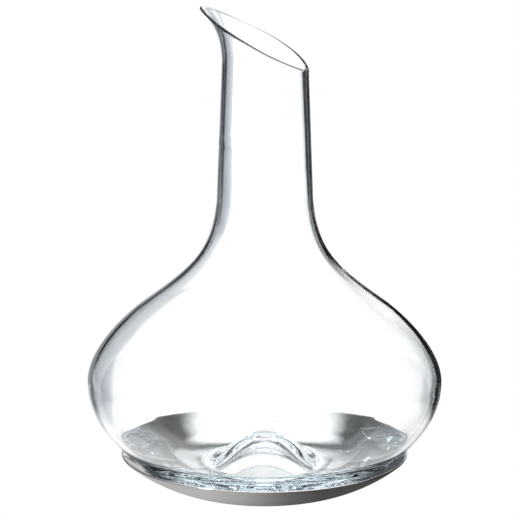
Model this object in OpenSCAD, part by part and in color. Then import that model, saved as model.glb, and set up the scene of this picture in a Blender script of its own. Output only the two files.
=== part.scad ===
// Wine decanter with a slanted mouth, standing in a shallow steel dish.
// Millimetres, +Z up. The origin is on the table, under the middle of the dish.
// The pouring tip points along -X.

/* [Decanter body] */
// Diameter at the belly, the widest circle of the decanter
belly_d = 198.6; // [192:0.2:204]
// Height of the belly above the table
belly_h = 62; // [60:0.2:65]
// Diameter where the shoulder turns from convex to concave
shoulder_d = 143; // [139:1:147]
// Height of that turn above the table
shoulder_h = 102.5; // [100:0.5:105]
// Wall thickness of the body
body_wall = 2.4; // [1.8:0.1:3]

/* [Neck and mouth] */
// Diameter at the root of the neck
neck_root_d = 53.8; // [51:0.2:56]
// Height of the neck's root above the table
neck_root_h = 167.2; // [162:0.2:172]
// Diameter of the neck where the lip starts to flare
neck_top_d = 48.6; // [47:0.2:50]
// Height where the lip starts to flare
flare_h = 247.4; // [245:0.2:250]
// Distance of the pouring tip from the axis
tip_reach = 36.8; // [35:0.2:39]
// Height of the pouring tip, which is the height of the whole object
tip_h = 278.6; // [276:0.2:281]
// Height of the mouth's low side
heel_h = 242.4; // [240:0.2:245]
// Slope of the mouth at the pouring tip, in degrees
mouth_slope = 33; // [30:1:36]
// Slope of the mouth at its low side, where it rolls over, in degrees
heel_slope = 58; // [50:1:64]
// Wall thickness of the neck
neck_wall = 1.4; // [1.2:0.1:1.8]

/* [Foot and floor] */
// Inner diameter of the foot ring that the decanter stands on
foot_inner_d = 72; // [70:0.5:74]
// Outer diameter of the foot ring
foot_outer_d = 80; // [79:0.5:81]
// Height of the circle at the bottom of the inside, above the table
trough_h = 14.8; // [13.5:0.1:16]
// Diameter of that circle
trough_d = 71; // [69:0.5:73]
// Diameter at which the bowl's wall starts to thicken towards the floor
thin_to_d = 168; // [164:1:172]

/* [Punt] */
// Height of the punt's top inside the decanter, above the table
punt_top_h = 30.5; // [29:0.1:32]
// Diameter of the flat on the punt's top
punt_flat_d = 13; // [11:0.5:15]
// Slope of the punt's cone inside the decanter, in degrees
punt_slope = 34.5; // [33:0.5:36]
// Height of the hollow under the punt, above the table
hollow_top_h = 24.2; // [22.4:0.2:25]
// Slope of the hollow's cone, in degrees
hollow_slope = 36; // [33:1:38]

/* [Dish] */
// Outer diameter of the dish
dish_d = 160.6; // [158:0.2:164]
// Diameter of the dish's flat bottom
dish_flat_d = 77.2; // [76:0.2:79]
// Thickness of the steel
dish_wall = 1.2; // [0.8:0.1:1.4]
// Slope of the dish's wall at the rim, in degrees
dish_rim_slope = 39.4; // [39:0.1:42]
// Slope of the dish's wall where it meets the bottom's bend, in degrees
dish_foot_slope = 13.5; // [12:0.5:14]
// Radius of the bend between the wall and the bottom
dish_bend_r = 25; // [20:1:27]

/* [Pad] */
// Diameter of the non-slip pad under the dish
pad_d = 68; // [60:1:70]
// Thickness of the pad
pad_t = 1; // [0.8:0.1:1.5]

/* [Hidden] */

$fn = 180;
curve_steps = 14;      // straight pieces in one curve of an outline
overrun = 2;           // how far the uncut lip runs past the pouring tip
seat_gap = 0.1;        // play between the foot ring and the dish's floor
foot_h = pad_t + dish_wall + seat_gap;

GLASS = [0.86, 0.9, 0.92, 0.35];
STEEL = [0.72, 0.72, 0.73];
RUBBER = [0.07, 0.07, 0.08];

function bezier_point(p, t) =
    pow(1 - t, 3) * p[0] + 3 * pow(1 - t, 2) * t * p[1]
    + 3 * (1 - t) * t * t * p[2] + pow(t, 3) * p[3];

// The points of a cubic curve, without its last one.
function bezier(p, steps = curve_steps) =
    [for (i = [0:steps - 1]) bezier_point(p, i / steps)];

// The points of an arc about centre, both ends included.
function arc(centre, r, from, to, steps = curve_steps) =
    [for (i = [0:steps])
        let (a = from + (to - from) * i / steps)
            centre + r * [cos(a), sin(a)]];

function unit(v) = v / norm(v);

function reversed(list) = [for (i = [len(list) - 1:-1:0]) list[i]];

// The points of a line moved to its left by walls[i] at point i.
function moved_left(line, walls) =
    [for (i = [0:len(line) - 1])
        let (
            before = line[max(i - 1, 0)],
            after = line[min(i + 1, len(line) - 1)],
            along = unit(after - before)
        )
            line[i] + walls[i] * [-along[1], along[0]]];

// ---- Decanter -------------------------------------------------------------

belly_r = belly_d / 2;
shoulder = [shoulder_d / 2, shoulder_h];
shoulder_way = unit([-0.79, 0.608]);
neck_root = [neck_root_d / 2, neck_root_h];
neck_top = [neck_top_d / 2, flare_h];
lip_way = unit([0.76, 0.65]);
tip = [tip_reach, tip_h];
nest = [61.5, foot_h + 7.7];         // where the bowl leaves the dish's curve
nest_way = unit([0.785, 0.62]);

// The outside of the bowl, from the foot ring to the belly.
bowl_line = concat(
    bezier([
        [foot_outer_d / 2, foot_h],
        [foot_outer_d / 2 + 6, foot_h + 1.1],
        nest - 7 * nest_way,
        nest
    ]),
    bezier([
        nest,
        nest + 24 * nest_way,
        [belly_r, belly_h - 22.8],
        [belly_r, belly_h]
    ])
);

// The outside from the belly to past the lip.
upper_line = concat(
    bezier([
        [belly_r, belly_h],
        [belly_r, belly_h + 16.3],
        shoulder - 7.3 * shoulder_way,
        shoulder
    ]),
    bezier([
        shoulder,
        shoulder + 40 * shoulder_way,
        neck_root + [2.9, -29.8],
        neck_root
    ]),
    bezier([
        neck_root,
        neck_root + [-0.6, 24],
        neck_top - [-0.6, 24],
        neck_top
    ]),
    bezier([
        neck_top,
        neck_top + [0, 10.2],
        tip - 13 * lip_way,
        tip
    ]),
    [tip, tip + overrun * lip_way]
);

// The wall thins evenly from the body to the neck.
function wall_at(h) =
    let (share = min(1, max(0, (h - belly_h) / (neck_root_h - belly_h))))
        body_wall + (neck_wall - body_wall) * share;

upper_inside = moved_left(upper_line, [for (p = upper_line) wall_at(p[1])]);

// The inside of the bowl: as thin as the body down to thin_to_d, then a bend into
// the thick floor that falls to the trough.
trough = [trough_d / 2, trough_h];
floor_way = unit([26, 7]);
bowl_skin = moved_left(bowl_line, [for (p = bowl_line) body_wall]);
thin_inside = [for (i = [len(bowl_line) - 1:-1:0])
    if (bowl_line[i][0] > thin_to_d / 2) bowl_skin[i]];
thin_end = thin_inside[len(thin_inside) - 1];
thin_way = unit(thin_end - thin_inside[len(thin_inside) - 2]);
bowl_inside = concat(
    [for (i = [1:len(thin_inside) - 2]) thin_inside[i]],
    bezier([
        thin_end,
        thin_end + 6 * thin_way,
        trough + 26.9 * floor_way,
        trough
    ], 2 * curve_steps)
);

// The inside of the punt, from the trough up to the axis: a curve, a cone, a
// round corner and the flat top.
punt_corner_r = 5;
cone_way = [cos(punt_slope), -sin(punt_slope)];
cone_tip_h = punt_top_h
    + (punt_flat_d / 2 + punt_corner_r * tan(punt_slope / 2)) * tan(punt_slope);
cone_foot_r = trough[0] - 4;
cone_foot = [cone_foot_r, cone_tip_h - cone_foot_r * tan(punt_slope)];
punt_inside = concat(
    bezier([
        trough,
        trough - 1.6 * floor_way,
        cone_foot + 2 * cone_way,
        cone_foot
    ], 6),
    reversed(arc(
        [punt_flat_d / 2, punt_top_h - punt_corner_r], punt_corner_r,
        90, 90 - punt_slope, 6
    )),
    [[0, punt_top_h]]
);

// The hollow under the punt, from the axis down to the foot ring: a round top
// and a bell that runs out flat at the foot.
hollow_ball_r = 10;
hollow_flat_r = 1;
hollow_way = [cos(hollow_slope), -sin(hollow_slope)];
hollow_round = arc(
    [hollow_flat_r, hollow_top_h - hollow_ball_r], hollow_ball_r,
    90, 90 - hollow_slope, 8
);
hollow_end = hollow_round[len(hollow_round) - 1];
foot_inner = [foot_inner_d / 2, foot_h];
punt_under = concat(
    [[0, hollow_top_h]],
    hollow_round,
    [for (i = [1:curve_steps - 1])
        bezier_point([
            hollow_end,
            hollow_end + 14 * hollow_way,
            foot_inner + [-12, 1.5],
            foot_inner
        ], i / curve_steps)],
    [foot_inner]
);

module decanter_blank() {
    rotate_extrude()
        polygon(concat(
            punt_under,
            bowl_line,
            upper_line,
            reversed(upper_inside),
            bowl_inside,
            punt_inside
        ));
}

// What lies under the mouth: the slanted line from the pouring tip to the low
// side, straight for most of its way and rolled over at the low side.
mouth_high = [-tip_reach, tip_h];
mouth_low = [neck_top_d / 2 + 0.4, heel_h];
mouth_way = [cos(mouth_slope), -sin(mouth_slope)];
heel_way = [cos(heel_slope), -sin(heel_slope)];

module mouth_keep() {
    rotate([90, 0, 0])
        linear_extrude(belly_d + 10, center = true)
            polygon(concat(
                bezier([
                    mouth_high,
                    mouth_high + 22.4 * mouth_way,
                    mouth_low - 8.3 * heel_way,
                    mouth_low
                ], 2 * curve_steps),
                [
                    mouth_low,
                    mouth_low + 3 * heel_way,
                    [belly_d, heel_h - 20],
                    [belly_d, -10],
                    [-belly_d, -10],
                    [-belly_d, tip_h + 20],
                    mouth_high - 10 * mouth_way
                ]
            ));
}

module decanter() {
    color(GLASS)
        intersection() {
            decanter_blank();
            mouth_keep();
        }
}

// ---- Dish -----------------------------------------------------------------

// The rim is round, so the dish reaches a little past its outer skin's end.
dish_rim_r = dish_d / 2 - dish_wall / 2 * (1 - sin(dish_rim_slope));
bend_centre = [dish_flat_d / 2, pad_t + dish_bend_r];
bend_end = bend_centre
    + dish_bend_r * [sin(dish_foot_slope), -cos(dish_foot_slope)];
dish_arc_r = (dish_rim_r - bend_end[0])
    / (sin(dish_rim_slope) - sin(dish_foot_slope));
dish_centre = bend_end
    - dish_arc_r * [sin(dish_foot_slope), -cos(dish_foot_slope)];
rim_middle = dish_centre
    + (dish_arc_r - dish_wall / 2) * [sin(dish_rim_slope), -cos(dish_rim_slope)];

module dish() {
    color(STEEL)
        rotate_extrude()
            polygon(concat(
                [[0, pad_t]],
                arc(bend_centre, dish_bend_r, -90, -90 + dish_foot_slope, 4),
                arc(
                    dish_centre, dish_arc_r,
                    -90 + dish_foot_slope + 2, -90 + dish_rim_slope
                ),
                arc(
                    rim_middle, dish_wall / 2,
                    -70 + dish_rim_slope, 70 + dish_rim_slope, 6
                ),
                reversed(arc(
                    dish_centre, dish_arc_r - dish_wall,
                    -90 + dish_foot_slope + 2, -90 + dish_rim_slope
                )),
                reversed(arc(
                    bend_centre, dish_bend_r - dish_wall,
                    -90, -90 + dish_foot_slope, 4
                )),
                [[0, pad_t + dish_wall]]
            ));
}

// ---- Pad ------------------------------------------------------------------

module base_pad() {
    edge_r = pad_t / 4;
    color(RUBBER)
        rotate_extrude()
            polygon(concat(
                [[0, 0]],
                arc([pad_d / 2 - edge_r, edge_r], edge_r, -90, 0, 4),
                [[pad_d / 2, pad_t], [0, pad_t]]
            ));
}

decanter();
dish();
base_pad();
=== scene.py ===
"""A clear glass wine decanter standing in a shallow steel dish, on a white table.

The file is laid out as an add-on: the sizes and colours are properties, and each
piece and the stage are operators that the sidebar's panel lists.
"""

import math

import bmesh
import bpy
import numpy as np
from mathutils import Matrix, Vector


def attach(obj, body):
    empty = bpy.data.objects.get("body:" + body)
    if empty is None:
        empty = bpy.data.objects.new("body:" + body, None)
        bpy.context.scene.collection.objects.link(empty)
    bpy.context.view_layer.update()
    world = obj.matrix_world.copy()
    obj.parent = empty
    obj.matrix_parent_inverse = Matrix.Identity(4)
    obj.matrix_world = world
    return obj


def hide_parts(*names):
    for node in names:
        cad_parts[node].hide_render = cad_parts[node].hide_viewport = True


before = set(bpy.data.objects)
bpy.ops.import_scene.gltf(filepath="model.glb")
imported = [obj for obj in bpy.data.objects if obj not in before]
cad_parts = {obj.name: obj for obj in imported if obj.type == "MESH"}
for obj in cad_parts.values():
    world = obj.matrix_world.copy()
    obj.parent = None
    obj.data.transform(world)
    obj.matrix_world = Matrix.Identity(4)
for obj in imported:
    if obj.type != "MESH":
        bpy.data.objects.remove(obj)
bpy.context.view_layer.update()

bl_info = {
    "name": "Wine decanter",
    "version": (1, 0, 0),
    "blender": (4, 5, 0),
    "location": "View3D > Sidebar > Decanter",
    "description": "Builds a glass wine decanter in a steel dish",
    "category": "Add Mesh",
}

MM = 0.001

# Fixed proportions of the glass, in millimetres and degrees.
FOOT_HEIGHT = 2.3
FOOT_OUTER = 40.0
FOOT_INNER = 36.0
EDGE_ROUND = 0.5
THIN_TO = 84.0            # radius down to which the bowl stays thin
FLOOR_BEND = 6.0
FLOOR_REACH = (26.0, 7.0)  # how the floor leaves the trough
PUNT_BRIM = 4.0
PUNT_FLAT = 6.5
PUNT_CORNER = 5.0
PUNT_SLOPE = 34.5
HOLLOW_FLAT = 1.0
HOLLOW_BALL = 10.0
HOLLOW_SLOPE = 36.0
HOLLOW_REACH = 14.0
HOLLOW_BRIM = (12.0, -1.5)
LIP_START = 200.0
SPIN_STEPS = 288
LIP_ROWS = 46             # rows on each side of the lip
EDGE_STEPS = 10           # steps round the lip's edge
NEST = (61.5, 7.7)        # where the bowl rests in the dish, above the foot
NEST_WAY = (0.785, 0.62)
SHOULDER_WAY = (-0.79, 0.608)
LIP_WAY = (0.76, 0.65)
MOUTH_SLOPE = 33.0        # slant of the mouth at its tip
HEEL_SLOPE = 58.0         # slant of the mouth at its low side
DISH_FOOT_SLOPE = 13.5
DISH_RIM_SLOPE = 39.4

# Fixed proportions of the finishes, in metres or in turns a metre.
THICK_BOTTOM = (0.013, 0.028)   # heights over which the streaks fade
STREAK_FROM = 0.036             # radius where the streaks start
STREAKS = (260.0, 2.0, 60.0)    # fineness outward, round and upward
SPIN_MARKS = 2600.0             # fineness of the marks on spun steel

# Where the studio's table and walls turn from light to dark, in metres or as
# parts of a direction of length one.
BRIGHT_REACH = 0.095            # half width of the white behind the bowl
NECK_AWAY = (0.28, 0.60)        # how far behind the neck's light lies
NEAR_TABLE = (0.05, 0.12)
# Radii over which the painted shadow under the dish fades out, in metres.
SHADOW_UNDER_DISH = (0.030, 0.066)
DARK_GAP = (0.42, 0.54)         # height of the dark band on the walls
OVERHEAD_FROM = (0.60, 0.82)    # height where the light above starts
FRONT_FROM = (-0.10, 0.25)


# ---- Settings ---------------------------------------------------------------

def length(name, default, description):
    """A size in metres, given here in millimetres."""
    return bpy.props.FloatProperty(
        name=name, description=description, default=default * MM,
        min=0.0, precision=4, subtype="DISTANCE", unit="LENGTH",
    )


def tint(name, default, description):
    """A colour."""
    return bpy.props.FloatVectorProperty(
        name=name, description=description, default=default,
        min=0.0, max=1.0, size=3, subtype="COLOR",
    )


def amount(name, default, description, top=1.0):
    """A plain number."""
    return bpy.props.FloatProperty(
        name=name, description=description, default=default, min=0.0, max=top,
    )


class GlassSettings(bpy.types.PropertyGroup):
    belly_radius: length("Belly radius", 99.3, "Radius of the widest circle")
    belly_height: length("Belly height", 62.0, "Height of the widest circle")
    shoulder_radius: length("Shoulder radius", 71.5, "Radius where the shoulder turns")
    shoulder_height: length("Shoulder height", 102.5, "Height where the shoulder turns")
    neck_root_radius: length("Neck root radius", 26.9, "Radius at the foot of the neck")
    neck_root_height: length("Neck root height", 167.2, "Height of the foot of the neck")
    neck_radius: length("Neck radius", 24.3, "Radius under the lip")
    flare_height: length("Flare height", 247.4, "Height where the lip flares")
    tip_reach: length("Tip reach", 36.8, "Distance of the pouring tip from the axis")
    tip_height: length("Tip height", 277.8, "Height of the pouring tip")
    heel_height: length("Heel height", 242.4, "Height of the mouth's low side")
    body_wall: length("Body wall", 2.4, "Wall thickness of the body")
    neck_wall: length("Neck wall", 1.4, "Wall thickness of the neck")
    trough_radius: length("Trough radius", 35.5, "Radius of the lowest circle inside")
    trough_height: length("Trough height", 14.8, "Height of the lowest circle inside")
    punt_top: length("Punt top", 30.5, "Height of the punt's top")
    hollow_top: length("Hollow top", 24.2, "Height of the hollow under the punt")
    ripple: length("Ripple", 0.10, "How far the blown inside wanders")
    colour: tint("Glass colour", (0.80, 0.87, 0.91), "Colour of thick glass")
    # Painted shade: the near-black colour of the dark line drawn along the lip's edge.
    painted_lip_shade: tint("Painted lip shade", (0.006, 0.007, 0.008), "Painted dark shade along the lip's edge")
    depth: amount("Glass depth", 12.0, "How fast thick glass takes on its colour", 500.0)


class DishSettings(bpy.types.PropertyGroup):
    radius: length("Rim radius", 80.3, "Radius of the dish")
    flat_radius: length("Flat radius", 38.6, "Radius of the flat bottom")
    sheet: length("Sheet", 1.2, "Thickness of the steel")
    bend_radius: length("Bend radius", 25.0, "Radius of the bend at the bottom")
    pad_radius: length("Pad radius", 34.0, "Radius of the pad underneath")
    pad_thickness: length("Pad thickness", 1.0, "Thickness of the pad")
    steel: tint("Steel", (0.72, 0.72, 0.71), "Colour of the steel")
    satin: amount("Satin", 0.34, "Roughness of the outside")
    polish: amount("Polish", 0.045, "Roughness of the inside")
    rubber: tint("Rubber", (0.022, 0.022, 0.024), "Colour of the pad")


class StageSettings(bpy.types.PropertyGroup):
    table: tint("Table", (1.0, 1.0, 1.0), "Colour of the table")
    light: amount("Table light", 1.35, "Light that the table sends through the glass", 10.0)
    elevation: bpy.props.FloatProperty(
        name="Camera elevation", description="Angle that the camera looks down at",
        default=math.radians(15.4), subtype="ANGLE", unit="ROTATION",
    )
    roll: bpy.props.FloatProperty(
        name="Camera roll", description="Turn of the camera about its own view",
        default=math.radians(0.12), subtype="ANGLE", unit="ROTATION",
    )
    width: length("View width", 291.2, "Width that the camera shows")
    distance: length("Camera distance", 8000.0, "Distance of the camera")
    aim_x: bpy.props.FloatProperty(
        name="Aim across", description="Where the camera aims, across",
        default=-2.7 * MM, subtype="DISTANCE", unit="LENGTH",
    )
    aim_height: length("Aim height", 132.3, "Height that the camera aims at")


# ---- Shader nodes as expressions ---------------------------------------------

class Value:
    """A shader socket that can be used in sums."""

    def __init__(self, tree, socket):
        self.tree, self.socket = tree, socket

    def maths(self, operation, *others, clamp=False):
        node = self.tree.nodes.new("ShaderNodeMath")
        node.operation, node.use_clamp = operation, clamp
        for slot, item in zip(node.inputs, (self, *others)):
            if isinstance(item, Value):
                self.tree.links.new(item.socket, slot)
            else:
                slot.default_value = item
        return Value(self.tree, node.outputs[0])

    def constant(self, number):
        node = self.tree.nodes.new("ShaderNodeValue")
        node.outputs[0].default_value = number
        return Value(self.tree, node.outputs[0])

    def __add__(self, other): return self.maths("ADD", other)
    def __radd__(self, other): return self.maths("ADD", other)
    def __mul__(self, other): return self.maths("MULTIPLY", other)
    def __rmul__(self, other): return self.maths("MULTIPLY", other)
    def __sub__(self, other): return self.maths("SUBTRACT", other)
    def __rsub__(self, other): return self.constant(other).maths("SUBTRACT", self)
    def __truediv__(self, other): return self.maths("DIVIDE", other)
    def __pow__(self, other): return self.maths("POWER", other)
    def __neg__(self): return self.maths("MULTIPLY", -1.0)

    def between(self, low, high):
        """0 below low, 1 above high, and smooth in between."""
        return Shader(self.tree).node(
            "ShaderNodeMapRange", {"interpolation_type": "SMOOTHSTEP"},
            {"Value": self, "From Min": low, "From Max": high},
        )


class Shader:
    """Makes the nodes of one material or world."""

    def __init__(self, tree):
        self.tree = tree

    def node(self, kind, settings=None, inputs=None, output=0):
        made = self.tree.nodes.new(kind)
        for name, setting in (settings or {}).items():
            if name == "stops":
                self.fill_ramp(made.color_ramp, setting)
            else:
                setattr(made, name, setting)
        for name, item in (inputs or {}).items():
            slot = made.inputs[name]
            if isinstance(item, Value):
                self.tree.links.new(item.socket, slot)
            else:
                slot.default_value = item
        return Value(self.tree, made.outputs[output])

    @staticmethod
    def fill_ramp(ramp, stops):
        while len(ramp.elements) < len(stops):
            ramp.elements.new(1.0)
        for element, (place, colour) in zip(ramp.elements, stops):
            element.position, element.color = place, colour

    def mix(self, share, first, second):
        """A mix of two colours."""
        made = self.tree.nodes.new("ShaderNodeMix")
        made.data_type = "RGBA"
        for number, item in ((0, share), (6, first), (7, second)):
            slot = made.inputs[number]
            if isinstance(item, Value):
                self.tree.links.new(item.socket, slot)
            elif number == 0:
                slot.default_value = item
            else:
                slot.default_value = (*item, 1.0) if len(item) == 3 else item
        return Value(self.tree, made.outputs[2])

    def place(self):
        """X, Y and Z of the point, in the piece's own frame."""
        spot = self.node("ShaderNodeTexCoord", output="Object")
        cut = self.tree.nodes.new("ShaderNodeSeparateXYZ")
        self.tree.links.new(spot.socket, cut.inputs[0])
        return [Value(self.tree, s) for s in cut.outputs]


def new_material(name):
    """An empty node material and its maker."""
    material = bpy.data.materials.new(name)
    material.use_nodes = True
    material.node_tree.nodes.clear()
    return material, Shader(material.node_tree)


def close_material(shader, surface, volume=None):
    out = shader.tree.nodes.new("ShaderNodeOutputMaterial")
    shader.tree.links.new(surface.socket, out.inputs["Surface"])
    if volume is not None:
        shader.tree.links.new(volume.socket, out.inputs["Volume"])


# ---- Finishes -----------------------------------------------------------------

def clear_glass(settings):
    """Blown glass: clear, faintly wavy, blue-grey where it is thick, with a painted shade line
    along the lip's edge.
    """
    material, s = new_material("clear_glass")
    waves = s.node("ShaderNodeTexNoise", inputs={
        "Vector": s.node("ShaderNodeTexCoord", output="Object"),
        "Scale": 28.0, "Detail": 2.0, "Roughness": 0.45,
    })
    bump = s.node("ShaderNodeBump", inputs={
        "Height": waves, "Strength": 0.06, "Distance": 0.0008,
    })
    x, y, z = s.place()
    reach = (x * x + y * y) ** 0.5
    spun = s.node("ShaderNodeCombineXYZ", inputs={
        "X": reach * STREAKS[0], "Y": y.maths("ARCTAN2", x) * STREAKS[1],
        "Z": z * STREAKS[2],
    })
    streaks = s.node("ShaderNodeTexNoise", inputs={
        "Vector": spun, "Scale": 1.0, "Detail": 2.0, "Roughness": 0.5,
    })
    low = 1.0 - z.between(*THICK_BOTTOM)
    edge = (reach - STREAK_FROM).between(0.0, 0.006)
    bump = s.node("ShaderNodeBump", inputs={
        "Height": streaks * low * edge, "Strength": 0.09, "Distance": 0.0006,
        "Normal": bump,
    })
    # Painted shade: the lip's edge is darkened to a near-black line, in place of the dark look
    # the rim gets from light and refraction.
    rim = s.node("ShaderNodeAttribute", {"attribute_name": "edge"}, output="Fac")
    clear = s.mix(waves, (0.985, 0.995, 1.0), (1.0, 1.0, 1.0))
    body = s.node("ShaderNodeBsdfPrincipled", inputs={
        "Base Color": s.mix(rim, clear, settings.painted_lip_shade),
        "Roughness": 0.0, "IOR": 1.5, "Transmission Weight": 1.0, "Normal": bump,
    })
    inside = s.node("ShaderNodeVolumeAbsorption", inputs={
        "Color": (*settings.colour, 1.0), "Density": settings.depth,
    })
    close_material(s, body, inside)
    return material


def spun_steel(settings):
    """Stainless steel: mirror-polished inside, finely spun and satin outside."""
    material, s = new_material("spun_steel")
    x, y, z = s.place()
    outside = s.node("ShaderNodeAttribute", {"attribute_name": "outside"}, output="Fac")
    reach = (x * x + y * y) ** 0.5
    rings = s.node("ShaderNodeTexNoise", {"noise_dimensions": "1D"}, {
        "W": reach * SPIN_MARKS, "Scale": 1.0, "Detail": 3.0, "Roughness": 0.6,
    })
    cloud = s.node("ShaderNodeTexNoise", inputs={
        "Vector": s.node("ShaderNodeTexCoord", output="Object"),
        "Scale": 30.0, "Detail": 3.0,
    })
    rough = settings.polish + outside * (settings.satin - settings.polish)
    rough = rough + outside * (rings - 0.5) * 0.16 + outside * (cloud - 0.5) * 0.06
    bump = s.node("ShaderNodeBump", inputs={
        "Height": outside * rings, "Strength": 0.12, "Distance": 0.00008,
    })
    body = s.node("ShaderNodeBsdfPrincipled", inputs={
        "Base Color": s.mix(outside * rings, settings.steel,
                            [c * 0.86 for c in settings.steel]),
        "Metallic": 1.0, "Roughness": rough, "Normal": bump,
    })
    close_material(s, body)
    return material


def matte_rubber(settings):
    """Black rubber with a fine grain."""
    material, s = new_material("matte_rubber")
    grain = s.node("ShaderNodeTexNoise", inputs={
        "Vector": s.node("ShaderNodeTexCoord", output="Object"),
        "Scale": 900.0, "Detail": 2.0,
    })
    bump = s.node("ShaderNodeBump", inputs={
        "Height": grain, "Strength": 0.3, "Distance": 0.0001,
    })
    body = s.node("ShaderNodeBsdfPrincipled", inputs={
        "Base Color": s.mix(grain, settings.rubber, [c * 1.8 for c in settings.rubber]),
        "Roughness": 0.62 + grain * 0.16, "Normal": bump,
    })
    close_material(s, body)
    return material


# ---- Outlines -------------------------------------------------------------------

def bezier(points, steps):
    """Points of a cubic curve, both ends included."""
    a, b, c, d = (np.array(p, float) for p in points)
    t = np.linspace(0.0, 1.0, steps + 1)[:, None]
    return (1 - t) ** 3 * a + 3 * (1 - t) ** 2 * t * b + 3 * (1 - t) * t * t * c + t ** 3 * d


def arc(centre, radius, start, end, steps):
    """Points of an arc, both ends included; angles in degrees."""
    a = np.radians(np.linspace(start, end, steps + 1))
    return np.array(centre) + radius * np.stack([np.cos(a), np.sin(a)], 1)


def joined(*parts):
    """One line out of several that meet end to end."""
    return np.vstack([parts[0]] + [p[1:] for p in parts[1:]])


def unit(x, y):
    return np.array([x, y]) / math.hypot(x, y)


def falling(slope):
    """The way outward and down at this slope, in degrees."""
    return np.array([math.cos(math.radians(slope)), -math.sin(math.radians(slope))])


def left_of(line):
    """The direction to the left of the line, at each of its points."""
    along = np.gradient(line, axis=0)
    along /= np.linalg.norm(along, axis=1)[:, None]
    return np.stack([-along[:, 1], along[:, 0]], 1)


def evenly(line, count, start=0.0, end=1.0):
    """count points spread along the line."""
    run = np.concatenate([[0], np.cumsum(np.linalg.norm(np.diff(line, axis=0), axis=1))])
    at = np.linspace(start, end, count) * run[-1]
    return np.stack([np.interp(at, run, line[:, k]) for k in (0, 1)], 1)


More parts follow.
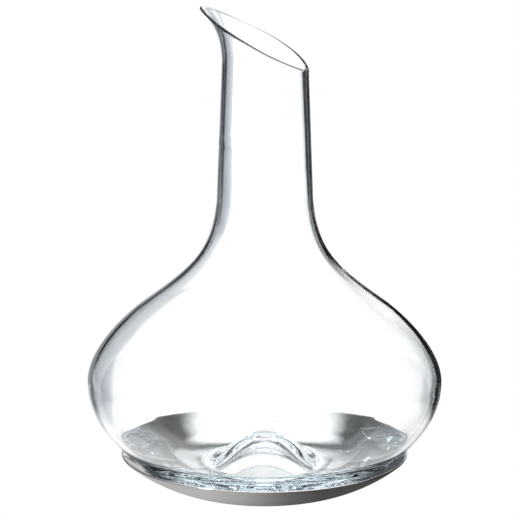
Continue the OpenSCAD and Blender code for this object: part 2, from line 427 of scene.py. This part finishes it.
class GlassOutline:
    """The decanter's outline in millimetres, as (radius, height)."""

    def __init__(self, g):
        mm = {n: getattr(g, n) / MM for n in g.bl_rna.properties.keys()
              if isinstance(getattr(g, n, None), float)}
        self.mm = mm
        self.trough = np.array([mm["trough_radius"], mm["trough_height"]])
        belly = np.array([mm["belly_radius"], mm["belly_height"]])
        shoulder = np.array([mm["shoulder_radius"], mm["shoulder_height"]])
        root = np.array([mm["neck_root_radius"], mm["neck_root_height"]])
        top = np.array([mm["neck_radius"], mm["flare_height"]])
        down_in = unit(*SHOULDER_WAY)
        nest = np.array([NEST[0], FOOT_HEIGHT + NEST[1]])
        nest_way = unit(*NEST_WAY)
        foot = (FOOT_OUTER - EDGE_ROUND, FOOT_HEIGHT)
        self.bowl = joined(
            bezier([foot, (FOOT_OUTER + 3.5, FOOT_HEIGHT + 0.8),
                    nest - 8 * nest_way, nest], 40),
            bezier([nest, nest + 24 * nest_way, belly - (0, 22.8), belly], 44),
        )
        body = joined(
            bezier([belly, belly + (0, 16.3), shoulder - 7.3 * down_in, shoulder], 40),
            bezier([shoulder, shoulder + 40 * down_in, root + (2.9, -29.8), root], 56),
        )
        neck = bezier([root, root + (-0.6, 24), top - (-0.6, 24), top], 60)
        cut = int(np.argmin(abs(neck[:, 1] - LIP_START)))
        self.body = joined(body, neck[:cut + 1])
        self.upper = joined(body, neck)
        self.top = top
        tip = np.array([mm["tip_reach"], mm["tip_height"]])
        lip_way = unit(*LIP_WAY)
        self.flare = joined(
            bezier([top, top + (0, 10.2), tip - 13 * lip_way, tip], 40),
            np.array([tip, tip + 6 * lip_way]),
        )
        mouth_way = falling(MOUTH_SLOPE)
        heel_way = falling(HEEL_SLOPE)
        low = np.array([mm["neck_radius"] + 0.4, mm["heel_height"]])
        high = np.array([-mm["tip_reach"], mm["tip_height"]])
        self.mouth = joined(
            np.array([high - 12 * mouth_way, high]),
            bezier([high, high + 22.4 * mouth_way, low - 8.3 * heel_way, low], 40),
            np.array([low, low + 6 * heel_way]),
        )

    def wall(self, height):
        share = (height - self.mm["belly_height"]) / (
            self.mm["neck_root_height"] - self.mm["belly_height"])
        share = np.clip(share, 0, 1)
        return self.mm["body_wall"] + (self.mm["neck_wall"] - self.mm["body_wall"]) * share

    def lip_radius(self, height, side):
        """Radius of the outside over the neck; side is 1 at the tip, 0 far from it."""
        neck = np.interp(height, self.upper[:, 1], self.upper[:, 0])
        flare = np.interp(height, self.flare[:, 1], self.flare[:, 0])
        return np.where(height > self.top[1], neck + (flare - neck) * side, neck)

    def lip(self, angle):
        """The outer and inner lines from LIP_START to the round edge of the lip."""
        degrees = abs(math.degrees(angle))
        t = min(max((84 - degrees) / 58, 0), 1)
        side = t * t * (3 - 2 * t)
        height = self.mm["heel_height"]
        for _ in range(40):
            across = -float(self.lip_radius(np.array(height), side)) * math.cos(angle)
            height = 0.5 * height + 0.5 * float(
                np.interp(across, self.mouth[:, 0], self.mouth[:, 1]))
        heights = np.linspace(LIP_START, height, 90)
        outer = np.stack([self.lip_radius(heights, side), heights], 1)
        wall = self.wall(LIP_START) * (1 - 0.06 * side)
        inner = outer + wall * left_of(outer)
        outward = -left_of(outer)[-1]
        along = np.array([-outward[1], outward[0]])
        middle = (outer[-1] + inner[-1]) / 2 - along * wall * 0.42
        turn = np.radians(np.linspace(0, 180, EDGE_STEPS + 1))
        edge = middle + wall / 2 * (
            np.cos(turn)[:, None] * outward + np.sin(turn)[:, None] * along)
        return outer, inner, edge, along, wall

    def lip_rows(self, angle):
        outer, inner, edge, along, wall = self.lip(angle)
        keep = max(2, len(outer) - int(math.ceil(wall / (outer[-1, 1] - outer[0, 1]) * 90)))
        rise = evenly(np.vstack([outer[:keep], edge[:1]]), LIP_ROWS)
        fall = evenly(np.vstack([inner[:keep], edge[-1:]]), LIP_ROWS)[::-1]
        return np.vstack([rise, edge[1:-1], fall])

    def inside(self):
        """The inside of the body, from LIP_START down to the axis."""
        skin = self.body
        inner = skin + self.wall(skin[:, 1])[:, None] * left_of(skin)
        thin = self.bowl + self.mm["body_wall"] * left_of(self.bowl)
        thin = thin[self.bowl[:, 0] > THIN_TO][::-1]
        way_down = unit(*(thin[-1] - thin[-2]))
        trough = self.trough
        bowl = joined(np.vstack([inner[:1], thin[1:]]), bezier(
            [thin[-1], thin[-1] + FLOOR_BEND * way_down, trough + FLOOR_REACH, trough], 50))
        slope = math.radians(PUNT_SLOPE)
        way = falling(PUNT_SLOPE)
        top = self.mm["punt_top"]
        tip = top + (PUNT_FLAT + PUNT_CORNER * math.tan(slope / 2)) * math.tan(slope)
        reach = trough[0] - PUNT_BRIM
        foot = np.array([reach, tip - reach * math.tan(slope)])
        dome = joined(
            arc((PUNT_FLAT, top - PUNT_CORNER), PUNT_CORNER, 90 - PUNT_SLOPE, 90, 16),
            np.array([(PUNT_FLAT, top), (0, top)]),
        )
        brim = bezier([trough, trough - 0.4 * PUNT_BRIM * unit(*FLOOR_REACH),
                       foot + 2 * way, foot], 20)
        punt = joined(brim, evenly(np.array([foot, dome[0]]), 14), dome)
        return joined(inner[::-1], bowl, punt)

    def underneath(self):
        """The underside of the punt, from the axis to the foot."""
        top = self.mm["hollow_top"]
        dome = joined(
            np.array([(0, top), (HOLLOW_FLAT, top)]),
            arc((HOLLOW_FLAT, top - HOLLOW_BALL), HOLLOW_BALL, 90, 90 - HOLLOW_SLOPE, 16),
        )
        way = falling(HOLLOW_SLOPE)
        end = np.array([FOOT_INNER + EDGE_ROUND, FOOT_HEIGHT])
        ring = np.array([(FOOT_OUTER + FOOT_INNER) / 2, FOOT_HEIGHT])
        return joined(
            dome,
            bezier([dome[-1], dome[-1] + HOLLOW_REACH * way, end - HOLLOW_BRIM, end], 30),
            np.array([end, ring, (FOOT_OUTER - EDGE_ROUND, FOOT_HEIGHT)]),
        )


# ---- Meshes ---------------------------------------------------------------------

def finish_mesh(name, work, material, smooth=True):
    """A new object at the origin out of a bmesh."""
    bmesh.ops.remove_doubles(work, verts=work.verts, dist=1e-6)
    bmesh.ops.recalc_face_normals(work, faces=work.faces)
    mesh = bpy.data.meshes.new(name)
    work.to_mesh(mesh)
    work.free()
    mesh.polygons.foreach_set("use_smooth", [smooth] * len(mesh.polygons))
    mesh.materials.append(material)
    made = bpy.data.objects.new(name, mesh)
    bpy.context.scene.collection.objects.link(made)
    return made


def wander(angle, height, strength):
    """A slow, smooth wander of the blown wall, in millimetres."""
    return strength * (
        0.50 * np.sin(2 * angle + height / 31 + 0.7)
        + 0.30 * np.sin(3 * angle - height / 19 + 2.1)
        + 0.20 * np.sin(5 * angle + height / 12 + 4.0)
        + 0.25 * np.sin(height / 7.5 + 1.3 * np.sin(angle))
    )


def glass_mesh(settings, material):
    """The decanter: the outline carried round the axis, its lip cut at a slant."""
    outline = GlassOutline(settings)
    below = joined(outline.underneath(), outline.bowl, outline.body)
    inside = outline.inside()
    strength = settings.ripple / MM
    rings = []
    for k in range(SPIN_STEPS):
        angle = 2 * math.pi * k / SPIN_STEPS
        away = min(angle, 2 * math.pi - angle)
        lip = outline.lip_rows(away)
        wall_in = inside.copy()
        wave = wander(angle, inside[:, 1], strength)
        wave *= np.clip((LIP_START - inside[:, 1]) / 30, 0, 1)
        wave *= np.clip((inside[:, 1] - 20) / 25, 0, 1)
        wall_in[:, 0] -= abs(wave)
        line = np.vstack([below, lip[1:-1], wall_in])
        x = -line[:, 0] * math.cos(angle)
        y = line[:, 0] * math.sin(angle)
        rings.append(np.stack([x, y, line[:, 1]], 1) * MM)
    rows = len(rings[0])
    work = bmesh.new()
    mark = work.verts.layers.float.new("edge")
    grid = [[work.verts.new(p) for p in ring] for ring in rings]
    first = len(below) + LIP_ROWS - 1
    for k, ring in enumerate(grid):
        # The painted shade line on the lip's edge is bolder at the front, the side facing the
        # camera.
        front = min(max(0.3 - math.sin(2 * math.pi * k / SPIN_STEPS), 0), 1)
        for i in range(1, EDGE_STEPS):
            ring[first + i - 1][mark] = math.sin(math.pi * i / EDGE_STEPS) ** (1 - 0.9 * front)
        ring[first - 1][mark] = 0.7 * front
        ring[first + EDGE_STEPS - 1][mark] = 0.7 * front
    for k in range(SPIN_STEPS):
        a, b = grid[k], grid[(k + 1) % SPIN_STEPS]
        for i in range(rows - 1):
            work.faces.new((a[i], b[i], b[i + 1], a[i + 1]))
    bmesh.ops.remove_doubles(work, verts=work.verts, dist=1e-6)
    bmesh.ops.dissolve_degenerate(work, edges=work.edges, dist=1e-7)
    return finish_mesh("decanter_glass", work, material)


def lathe_tree():
    """Geometry nodes that turn an outline about Z. The outline's points hold
    radius in X and height in Z."""
    tree = bpy.data.node_groups.new("turned_on_a_lathe", "GeometryNodeTree")
    face = tree.interface
    face.new_socket("Outline", in_out="INPUT", socket_type="NodeSocketGeometry")
    face.new_socket("Points", in_out="INPUT", socket_type="NodeSocketInt")
    face.new_socket("Steps round", in_out="INPUT", socket_type="NodeSocketInt")
    face.new_socket("Outside points", in_out="INPUT", socket_type="NodeSocketInt")
    face.new_socket("Finish", in_out="INPUT", socket_type="NodeSocketMaterial")
    face.new_socket("Piece", in_out="OUTPUT", socket_type="NodeSocketGeometry")
    nodes, links = tree.nodes, tree.links
    given = nodes.new("NodeGroupInput")
    result = nodes.new("NodeGroupOutput")

    def add(kind, settings=None, **inputs):
        made = nodes.new(kind)
        for name, setting in (settings or {}).items():
            setattr(made, name, setting)
        for key, item in inputs.items():
            slot = made.inputs[int(key[1:])]
            if isinstance(item, bpy.types.NodeSocket):
                links.new(item, slot)
            else:
                slot.default_value = item
        return made

    def number(operation, a, b=0.0):
        return add("ShaderNodeMath", {"operation": operation}, i0=a, i1=b).outputs[0]

    points, steps = given.outputs["Points"], given.outputs["Steps round"]
    across = number("ADD", steps, 1.0)
    grid = add("GeometryNodeMeshGrid", i0=1.0, i1=1.0, i2=points, i3=across)
    index = add("GeometryNodeInputIndex").outputs[0]
    row = number("FLOOR", number("DIVIDE", number("ADD", index, 0.5), across))
    column = number("SUBTRACT", index, number("MULTIPLY", row, across))
    angle = number("MULTIPLY", number("DIVIDE", column, steps), 2 * math.pi)
    spot = add("GeometryNodeInputPosition").outputs[0]
    taken = nodes.new("GeometryNodeSampleIndex")
    taken.data_type, taken.domain = "FLOAT_VECTOR", "POINT"
    links.new(given.outputs["Outline"], taken.inputs["Geometry"])
    links.new(spot, taken.inputs["Value"])
    links.new(row, taken.inputs["Index"])
    parts = add("ShaderNodeSeparateXYZ", i0=taken.outputs[0])
    x = number("MULTIPLY", parts.outputs[0], number("COSINE", angle))
    y = number("MULTIPLY", parts.outputs[0], number("SINE", angle))
    place = add("ShaderNodeCombineXYZ", i0=x, i1=y, i2=parts.outputs[2])
    outer = number("LESS_THAN", row, number("SUBTRACT", given.outputs["Outside points"], 0.5))
    marked = nodes.new("GeometryNodeStoreNamedAttribute")
    marked.data_type, marked.domain = "FLOAT", "POINT"
    marked.inputs["Name"].default_value = "outside"
    links.new(grid.outputs[0], marked.inputs["Geometry"])
    links.new(outer, marked.inputs["Value"])
    moved = add("GeometryNodeSetPosition", i0=marked.outputs[0], i2=place.outputs[0])
    welded = add("GeometryNodeMergeByDistance", i0=moved.outputs[0])
    welded.inputs["Distance"].default_value = 1e-6
    smooth = add("GeometryNodeSetShadeSmooth", i0=welded.outputs[0])
    real = add("GeometryNodeRealizeInstances", i0=smooth.outputs[0])
    painted = nodes.new("GeometryNodeSetMaterial")
    links.new(real.outputs[0], painted.inputs["Geometry"])
    links.new(given.outputs["Finish"], painted.inputs["Material"])
    links.new(painted.outputs[0], result.inputs[0])
    return tree


def turned_piece(name, outline, material, steps, outside_points):
    """A piece made by turning an outline, in millimetres, about Z."""
    mesh = bpy.data.meshes.new(name + "_outline")
    spots = [(r * MM, 0.0, h * MM) for r, h in outline]
    mesh.from_pydata(spots, [(i, i + 1) for i in range(len(spots) - 1)], [])
    blank = bpy.data.objects.new(name + "_outline", mesh)
    bpy.context.scene.collection.objects.link(blank)
    tree = lathe_tree()
    lathe = blank.modifiers.new("lathe", "NODES")
    lathe.node_group = tree
    inputs = {item.name: item.identifier for item in tree.interface.items_tree
              if item.in_out == "INPUT"}
    lathe[inputs["Points"]] = len(spots)
    lathe[inputs["Steps round"]] = steps
    lathe[inputs["Outside points"]] = outside_points
    lathe[inputs["Finish"]] = material
    graph = bpy.context.evaluated_depsgraph_get()
    plain = bpy.data.meshes.new_from_object(
        blank.evaluated_get(graph), preserve_all_data_layers=True, depsgraph=graph)
    plain.name = name
    blank.modifiers.remove(lathe)
    bpy.data.objects.remove(blank)
    work = bmesh.new()
    work.from_mesh(plain)
    bmesh.ops.remove_doubles(work, verts=work.verts, dist=1e-6)
    bmesh.ops.dissolve_degenerate(work, edges=work.edges, dist=1e-7)
    bmesh.ops.recalc_face_normals(work, faces=work.faces)
    work.to_mesh(plain)
    work.free()
    plain.polygons.foreach_set("use_smooth", [True] * len(plain.polygons))
    made = bpy.data.objects.new(name, plain)
    bpy.context.scene.collection.objects.link(made)
    return made


def dish_outline(d):
    """The dish's outline: outside from the axis to the rim, then the inside back."""
    pad, sheet = d.pad_thickness / MM, d.sheet / MM
    flat, bend = d.flat_radius / MM, d.bend_radius / MM
    foot_slope, rim_slope = DISH_FOOT_SLOPE, DISH_RIM_SLOPE
    sin, cos = (lambda a: math.sin(math.radians(a))), (lambda a: math.cos(math.radians(a)))
    rim = d.radius / MM - sheet / 2 * (1 - sin(rim_slope))
    bend_centre = np.array([flat, pad + bend])
    bend_end = bend_centre + bend * np.array([sin(foot_slope), -cos(foot_slope)])
    wall = (rim - bend_end[0]) / (sin(rim_slope) - sin(foot_slope))
    centre = bend_end - wall * np.array([sin(foot_slope), -cos(foot_slope)])
    middle = centre + (wall - sheet / 2) * np.array([sin(rim_slope), -cos(rim_slope)])
    outside = joined(
        np.stack([np.linspace(0, flat, 14), np.full(14, pad)], 1),
        arc(bend_centre, bend, -90, -90 + foot_slope, 10),
        arc(centre, wall, -90 + foot_slope, -90 + rim_slope, 36),
    )
    edge = arc(middle, sheet / 2, -90 + rim_slope, 90 + rim_slope, 12)
    inside = joined(
        arc(centre, wall - sheet, -90 + rim_slope, -90 + foot_slope, 36),
        arc(bend_centre, bend - sheet, -90 + foot_slope, -90, 10),
        np.stack([np.linspace(flat, 0, 14), np.full(14, pad + sheet)], 1),
    )
    return joined(outside, edge, inside), len(outside)


def pad_outline(d):
    radius, thick = d.pad_radius / MM, d.pad_thickness / MM
    soft = thick / 4
    return joined(
        np.stack([np.linspace(0, radius - soft, 10), np.zeros(10)], 1),
        arc((radius - soft, soft), soft, -90, 0, 6),
        np.array([(radius, soft), (radius, thick), (0, thick)]),
    )


# ---- Stage ------------------------------------------------------------------------

def table_plane(name, reach, material):
    work = bmesh.new()
    bmesh.ops.create_grid(work, x_segments=1, y_segments=1, size=reach)
    mesh = bpy.data.meshes.new(name)
    work.to_mesh(mesh)
    work.free()
    mesh.materials.append(material)
    made = bpy.data.objects.new(name, mesh)
    bpy.context.scene.collection.objects.link(made)
    return made


def seen_by(thing, camera=False, diffuse=False, glossy=False, transmission=False):
    thing.visible_camera, thing.visible_diffuse = camera, diffuse
    thing.visible_glossy, thing.visible_transmission = glossy, transmission
    thing.visible_shadow = False
    thing.visible_volume_scatter = False


def glowing(name, colour):
    """A plain even light."""
    material, s = new_material(name)
    close_material(s, s.node("ShaderNodeEmission", inputs={
        "Color": (*colour, 1.0), "Strength": 1.0,
    }))
    return material


FAR_LEFT = (
    (0.02, (1.0, 1.0, 1.0, 1)), (0.06, (0.64, 0.67, 0.70, 1)),
    (0.22, (0.46, 0.50, 0.55, 1)), (0.42, (0.38, 0.42, 0.47, 1)),
    (0.54, (0.16, 0.18, 0.21, 1)), (0.66, (0.01, 0.011, 0.016, 1)),
)
FAR_RIGHT = (
    (0.08, (1.0, 1.0, 1.0, 1)), (0.14, (0.80, 0.82, 0.83, 1)),
    (0.28, (0.68, 0.71, 0.73, 1)), (0.36, (0.08, 0.09, 0.095, 1)),
    (0.46, (0.010, 0.011, 0.013, 1)),
)


def light_through_glass(strength):
    """The table as the glass shows it: bright behind, grey-blue far to the left
    and dark far to the right, which draws the glass's edges."""
    material, s = new_material("table_through_glass")
    x, y, z = s.place()
    away = y.maths("MAXIMUM", 0.03)
    high = away.between(*NECK_AWAY)
    left_spread = (-x - BRIGHT_REACH + 0.069 * high) / away
    left_spread = (left_spread - 0.040 * high) * (1.0 + 1.3 * high)
    right_spread = (x - BRIGHT_REACH + 0.005 * high) / away * (1.0 + 2.0 * high)
    left = s.node("ShaderNodeValToRGB", {"stops": FAR_LEFT}, {"Fac": left_spread * 2.0})
    right = s.node("ShaderNodeValToRGB", {"stops": FAR_RIGHT}, {"Fac": right_spread * 2.0})
    shade = s.mix(x.maths("GREATER_THAN", 0.0), left, right)
    shade = s.mix(y.between(*NEAR_TABLE), (1.0, 1.0, 1.0), shade)
    close_material(s, s.node("ShaderNodeEmission", inputs={
        "Color": shade, "Strength": strength,
    }))
    return material


MIRRORED = (
    (0.10, (0.55, 0.55, 0.56, 1)), (0.32, (0.66, 0.66, 0.66, 1)),
    (0.43, (0.50, 0.50, 0.50, 1)), (0.50, (0.33, 0.33, 0.33, 1)),
    (0.57, (0.18, 0.18, 0.18, 1)), (0.66, (0.09, 0.09, 0.09, 1)),
    (0.90, (0.07, 0.07, 0.075, 1)),
)


def light_in_mirrors():
    """The table as polished and satin surfaces mirror it: pale on the left and dark on the
    right, with a painted shadow under the dish."""
    material, s = new_material("table_in_mirrors")
    x, y, z = s.place()
    shade = s.node("ShaderNodeValToRGB", {"stops": MIRRORED}, {"Fac": x * 5.0 + 0.5})
    shade = s.mix((-x - 0.10).between(0.0, 0.04), shade, (0.50, 0.53, 0.57))
    shade = s.mix((-x - 0.45).between(0.0, 0.20), shade, (0.015, 0.016, 0.018))
    shade = s.mix((x - 0.09).between(0.0, 0.03), shade, (0.015, 0.016, 0.018))
    # Painted shadow: the table is darkened under the dish, where the dish would shade it.
    under = ((x * x + y * y) ** 0.5).between(*SHADOW_UNDER_DISH)
    shade = s.mix(under, s.mix(0.55, shade, (0.0, 0.0, 0.0)), shade)
    close_material(s, s.node("ShaderNodeEmission", inputs={
        "Color": shade, "Strength": 1.0,
    }))
    return material


HORIZON = (
    (0.20, (0.05, 0.055, 0.06, 1)), (0.36, (0.15, 0.16, 0.18, 1)),
    (0.42, (0.50, 0.54, 0.58, 1)), (0.48, (0.95, 0.96, 0.98, 1)),
    (0.66, (1.0, 1.0, 1.0, 1)), (0.72, (0.02, 0.02, 0.022, 1)),
)
OVERHEAD = 2.2
FRONT = 0.4


def studio_world():
    """White overhead, dark near the horizon, and plain white to the camera."""
    world = bpy.data.worlds.new("studio")
    bpy.context.scene.world = world
    world.use_nodes = True
    tree = world.node_tree
    tree.nodes.clear()
    s = Shader(tree)
    way = s.node("ShaderNodeTexCoord", output="Generated")
    cut = tree.nodes.new("ShaderNodeSeparateXYZ")
    tree.links.new(way.socket, cut.inputs[0])
    x, y, z = (Value(tree, o) for o in cut.outputs)
    across = x * 0.5 + 0.5
    low = s.node("ShaderNodeValToRGB", {"stops": HORIZON}, {"Fac": across})
    front = (-y).between(*FRONT_FROM)
    shade = s.mix(front, low, (FRONT, FRONT, FRONT))
    gap = z.between(*DARK_GAP)
    shade = s.mix(gap, shade, (0.03, 0.032, 0.036))
    over = z.between(*OVERHEAD_FROM)
    shade = s.mix(over, shade, (OVERHEAD, OVERHEAD, OVERHEAD))
    seen = s.node("ShaderNodeLightPath", output="Is Camera Ray")
    shade = s.mix(seen, shade, (1.0, 1.0, 1.0))
    glow = s.node("ShaderNodeBackground", inputs={"Color": shade, "Strength": 1.0})
    out = tree.nodes.new("ShaderNodeOutputWorld")
    tree.links.new(glow.socket, out.inputs["Surface"])


def soft_box(name, where, towards, size, power):
    """A rectangular lamp that only mirrors and glass show."""
    lamp = bpy.data.lights.new(name, "AREA")
    lamp.shape, lamp.size, lamp.size_y = "RECTANGLE", size[0], size[1]
    lamp.energy = power
    made = bpy.data.objects.new(name, lamp)
    made.location = where
    made.rotation_euler = (Vector(towards) - Vector(where)).to_track_quat("-Z", "Y").to_euler()
    made.visible_camera = False
    bpy.context.scene.collection.objects.link(made)
    return made


def studio_camera(stage):
    data = bpy.data.cameras.new("camera")
    data.sensor_width = 36.0
    data.lens = 36.0 * stage.distance / stage.width
    data.clip_start, data.clip_end = 0.1, 100.0
    aim = Vector((stage.aim_x, 0.0, stage.aim_height))
    back = Vector((0.0, -math.cos(stage.elevation), math.sin(stage.elevation)))
    made = bpy.data.objects.new("camera", data)
    turn = Matrix.Rotation(math.pi / 2 - stage.elevation, 4, "X")
    lean = Matrix.Rotation(stage.roll, 4, "Z")
    made.matrix_world = Matrix.Translation(aim + back * stage.distance) @ turn @ lean
    bpy.context.scene.collection.objects.link(made)
    bpy.context.scene.camera = made


# ---- Operators --------------------------------------------------------------------

class DECANTER_OT_glass(bpy.types.Operator):
    """Blow the glass decanter"""
    bl_idname = "decanter.glass"
    bl_label = "Glass decanter"

    def execute(self, context):
        settings = context.scene.decanter_glass
        made = glass_mesh(settings, clear_glass(settings))
        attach(made, "decanter")
        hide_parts("decanter")
        return {"FINISHED"}


class DECANTER_OT_dish(bpy.types.Operator):
    """Press the steel dish"""
    bl_idname = "decanter.dish"
    bl_label = "Steel dish"

    def execute(self, context):
        settings = context.scene.decanter_dish
        outline, outside_points = dish_outline(settings)
        made = turned_piece("steel_dish", outline, spun_steel(settings), 256, outside_points)
        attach(made, "coaster")
        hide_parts("dish")
        return {"FINISHED"}


class DECANTER_OT_pad(bpy.types.Operator):
    """Cut the pad under the dish"""
    bl_idname = "decanter.pad"
    bl_label = "Pad"

    def execute(self, context):
        settings = context.scene.decanter_dish
        made = turned_piece("dish_pad", pad_outline(settings), matte_rubber(settings), 128, 0)
        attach(made, "coaster")
        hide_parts("base_pad")
        return {"FINISHED"}


class DECANTER_OT_stage(bpy.types.Operator):
    """Set up the table, the light and the camera"""
    bl_idname = "decanter.stage"
    bl_label = "Stage"

    def execute(self, context):
        stage = context.scene.decanter_stage
        plain = table_plane("table", 12.0, glowing("white_table", stage.table))
        seen_by(plain, camera=True)
        through = table_plane("table_behind_glass", 12.0, light_through_glass(stage.light))
        seen_by(through, transmission=True)
        mirrored = table_plane("table_in_reflections", 12.0, light_in_mirrors())
        seen_by(mirrored, glossy=True, diffuse=True)
        studio_world()
        soft_box("window_left", (-0.9, -0.7, 0.75), (0, 0, 0.08), (0.10, 0.7), 3.0)
        studio_camera(stage)
        context.scene.cycles.max_bounces = 32
        context.scene.cycles.glossy_bounces = 16
        context.scene.cycles.transmission_bounces = 32
        look = context.scene.view_settings
        look.view_transform, look.look = "Standard", "None"
        look.exposure, look.gamma = 0.0, 1.0
        return {"FINISHED"}


class DECANTER_PT_panel(bpy.types.Panel):
    bl_idname = "DECANTER_PT_panel"
    bl_label = "Decanter"
    bl_space_type = "VIEW_3D"
    bl_region_type = "UI"
    bl_category = "Decanter"

    def draw(self, context):
        for group, operators in GROUPS.items():
            box = self.layout.box()
            settings = getattr(context.scene, group)
            for operator in operators:
                box.operator(operator.bl_idname)
            for name in settings.__annotations__:
                box.prop(settings, name)


GROUPS = {
    "decanter_glass": (DECANTER_OT_glass,),
    "decanter_dish": (DECANTER_OT_dish, DECANTER_OT_pad),
    "decanter_stage": (DECANTER_OT_stage,),
}
SETTINGS = {
    "decanter_glass": GlassSettings,
    "decanter_dish": DishSettings,
    "decanter_stage": StageSettings,
}
CLASSES = (
    GlassSettings, DishSettings, StageSettings,
    DECANTER_OT_glass, DECANTER_OT_dish, DECANTER_OT_pad, DECANTER_OT_stage,
    DECANTER_PT_panel,
)


def register():
    for item in CLASSES:
        bpy.utils.register_class(item)
    for name, kind in SETTINGS.items():
        setattr(bpy.types.Scene, name, bpy.props.PointerProperty(type=kind))


def unregister():
    for name in SETTINGS:
        delattr(bpy.types.Scene, name)
    for item in reversed(CLASSES):
        bpy.utils.unregister_class(item)


def main():
    register()
    bpy.ops.decanter.glass()
    bpy.ops.decanter.dish()
    bpy.ops.decanter.pad()
    bpy.ops.decanter.stage()


if __name__ == "__main__":
    main()
